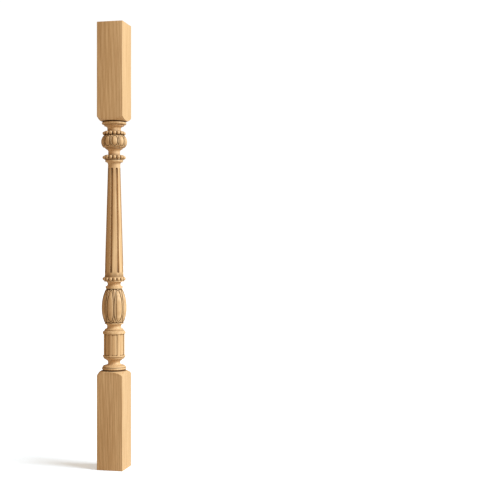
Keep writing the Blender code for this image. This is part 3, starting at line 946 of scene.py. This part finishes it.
def seen_apart(tree, plain, seen):
    """A shader that the camera sees as one and the other light rays meet as another."""
    path = tree.nodes.new("ShaderNodeLightPath")
    choice = tree.nodes.new("ShaderNodeMixShader")
    tree.links.new(path.outputs["Is Camera Ray"], choice.inputs["Fac"])
    tree.links.new(plain, choice.inputs[1])
    tree.links.new(seen, choice.inputs[2])
    return choice.outputs["Shader"]


class BALUSTER_OT_carve(bpy.types.Operator):
    """Turn and carve the oak baluster in place of its plain solid"""

    bl_idname = "baluster.carve"
    bl_label = "Carve Baluster"

    def execute(self, context):
        sizes = context.scene.baluster_sizes
        depth = sizes.carving_depth
        lower, vase, shaft_beads, drum_foot = lower_turning(depth)
        upper, bulb, upper_beads = upper_turning(depth)
        outline = lower.points + shaft_rows(lower.z, upper.z) + upper.points[::-1]
        piece = solid(PIECE, turned(outline))
        combine(piece, flutes(lower.z, upper.z, sizes), "DIFFERENCE")
        combine(piece, strips(drum_foot), "UNION")
        vase_loops = Loops(
            vase, sizes.vase_loops, 0.0, VASE_LOOP_CENTRE, sizes.vase_rim_width, VASE_LOOP_STEPS, sizes
        )
        bulb_loops = Loops(
            bulb,
            sizes.bulb_loops,
            BULB_LOOP_START,
            BULB_LOOP_CENTRE,
            sizes.bulb_rim_width,
            BULB_LOOP_STEPS,
            sizes,
        )
        combine(piece, carved_loops("vase_loops", vase_loops), "UNION")
        combine(piece, darts("vase_darts", vase_loops, *VASE_DART), "UNION")
        combine(piece, carved_loops("bulb_loops", bulb_loops), "UNION")
        combine(piece, darts("bulb_darts", bulb_loops, *BULB_DART), "UNION")
        combine(piece, beads((shaft_beads, *upper_beads), sizes), "UNION")
        combine(piece, block("lower_block", FOOT.z + BLOCK_LENGTH, 1, sizes.edge_round), "UNION")
        combine(piece, block("upper_block", HEAD.z - BLOCK_LENGTH, -1, sizes.edge_round), "UNION")
        piece.data.shade_smooth()
        piece.data.set_sharp_from_angle(angle=EDGE_ANGLE)
        shade_hollows(piece.data)
        piece.data.materials.clear()
        piece.data.materials.append(oak(context.scene.oak_finish))
        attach(piece, "root")
        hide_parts(NODE)
        return {"FINISHED"}


class BALUSTER_OT_stage(bpy.types.Operator):
    """Set the pale floor, the studio light and the camera"""

    bl_idname = "baluster.stage"
    bl_label = "Set Stage"

    def execute(self, context):
        studio = context.scene.baluster_studio
        self.floor()
        self.light(context.scene, studio)
        self.camera(context.scene, studio)
        return {"FINISHED"}

    def floor(self):
        """A wide pale floor at the baluster's foot, which throws a warmer light back than it shows."""
        bm = bmesh.new()
        bmesh.ops.create_grid(bm, x_segments=1, y_segments=1, size=FLOOR_SIZE)
        floor = solid("floor", bm)
        floor.data.transform(Matrix.Translation((0.0, 0.0, FOOT.z)))
        material = bpy.data.materials.new("studio_floor")
        material.use_nodes = True
        tree = material.node_tree
        pale = tree.nodes["Principled BSDF"]
        pale.inputs["Base Color"].default_value = FLOOR_COLOUR
        pale.inputs["Roughness"].default_value = FLOOR_ROUGHNESS
        pale.inputs["Specular IOR Level"].default_value = 0.0
        pale.inputs["Emission Color"].default_value = FLOOR_GLOW
        pale.inputs["Emission Strength"].default_value = FLOOR_GLOW_STRENGTH
        warm = tree.nodes.new("ShaderNodeBsdfDiffuse")
        warm.inputs["Color"].default_value = FLOOR_BOUNCE
        surface = seen_apart(tree, warm.outputs["BSDF"], pale.outputs["BSDF"])
        tree.links.new(surface, tree.nodes["Material Output"].inputs["Surface"])
        floor.data.materials.append(material)

    def light(self, scene, studio):
        """A white backdrop, a warm fill from all sides and a broad, cooler key light."""
        world = bpy.data.worlds.new("studio")
        world.use_nodes = True
        tree = world.node_tree
        white = tree.nodes.new("ShaderNodeBackground")
        white.inputs["Color"].default_value = BACKDROP_COLOUR
        white.inputs["Strength"].default_value = BACKDROP_STRENGTH
        fill = tree.nodes["Background"]
        fill.inputs["Color"].default_value = FILL_COLOUR
        fill.inputs["Strength"].default_value = studio.fill_strength
        surface = seen_apart(tree, fill.outputs["Background"], white.outputs["Background"])
        tree.links.new(surface, tree.nodes["World Output"].inputs["Surface"])
        scene.world = world
        key = bpy.data.lights.new("key", "SUN")
        key.energy = studio.key_strength
        key.angle = KEY_ANGLE
        key.color = KEY_COLOUR
        lamp = bpy.data.objects.new("key", key)
        turn = studio.azimuth + studio.key_turn
        flat = math.cos(studio.key_rise)
        towards = Vector((flat * math.sin(turn), -flat * math.cos(turn), math.sin(studio.key_rise)))
        lamp.location = towards * studio.distance
        lamp.rotation_euler = towards.to_track_quat("Z", "Y").to_euler()
        scene.collection.objects.link(lamp)

    def camera(self, scene, studio):
        """A level camera at the photograph's angle, turned aside from the baluster."""
        camera = bpy.data.cameras.new("camera")
        camera.lens = studio.lens
        camera.sensor_width = SENSOR_WIDTH
        camera.clip_start = CLIP_START
        item = bpy.data.objects.new("camera", camera)
        item.location = (
            studio.distance * math.sin(studio.azimuth),
            -studio.distance * math.cos(studio.azimuth),
            studio.eye_height,
        )
        item.rotation_euler = (QUARTER_TURN, 0.0, studio.azimuth - studio.aside)
        scene.collection.objects.link(item)
        scene.camera = item
        scene.view_settings.view_transform = "Standard"
        scene.view_settings.look = "None"


class BALUSTER_PT_panel(bpy.types.Panel):
    """Sizes, finish and studio of the baluster"""

    bl_label = "Baluster"
    bl_idname = "BALUSTER_PT_panel"
    bl_space_type = "VIEW_3D"
    bl_region_type = "UI"
    bl_category = "Baluster"

    def draw(self, context):
        """Lists the settings and the two operators."""
        scene = context.scene
        for group in (scene.baluster_sizes, scene.oak_finish, scene.baluster_studio):
            box = self.layout.box()
            for name in group.bl_rna.properties.keys():
                if name not in {"rna_type", "name"}:
                    box.prop(group, name)
        self.layout.operator(BALUSTER_OT_carve.bl_idname)
        self.layout.operator(BALUSTER_OT_stage.bl_idname)


CLASSES = (
    BalusterSizes,
    OakFinish,
    StudioSettings,
    BALUSTER_OT_carve,
    BALUSTER_OT_stage,
    BALUSTER_PT_panel,
)


def register():
    """Registers the classes and hangs their settings on the scene."""
    for item in CLASSES:
        bpy.utils.register_class(item)
    bpy.types.Scene.baluster_sizes = bpy.props.PointerProperty(type=BalusterSizes)
    bpy.types.Scene.oak_finish = bpy.props.PointerProperty(type=OakFinish)
    bpy.types.Scene.baluster_studio = bpy.props.PointerProperty(type=StudioSettings)


def unregister():
    """Takes the settings and the classes away again."""
    for name in ("baluster_sizes", "oak_finish", "baluster_studio"):
        delattr(bpy.types.Scene, name)
    for item in reversed(CLASSES):
        bpy.utils.unregister_class(item)


def main():
    """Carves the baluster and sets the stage."""
    register()
    bpy.ops.baluster.carve()
    bpy.ops.baluster.stage()


if __name__ == "__main__":
    main()
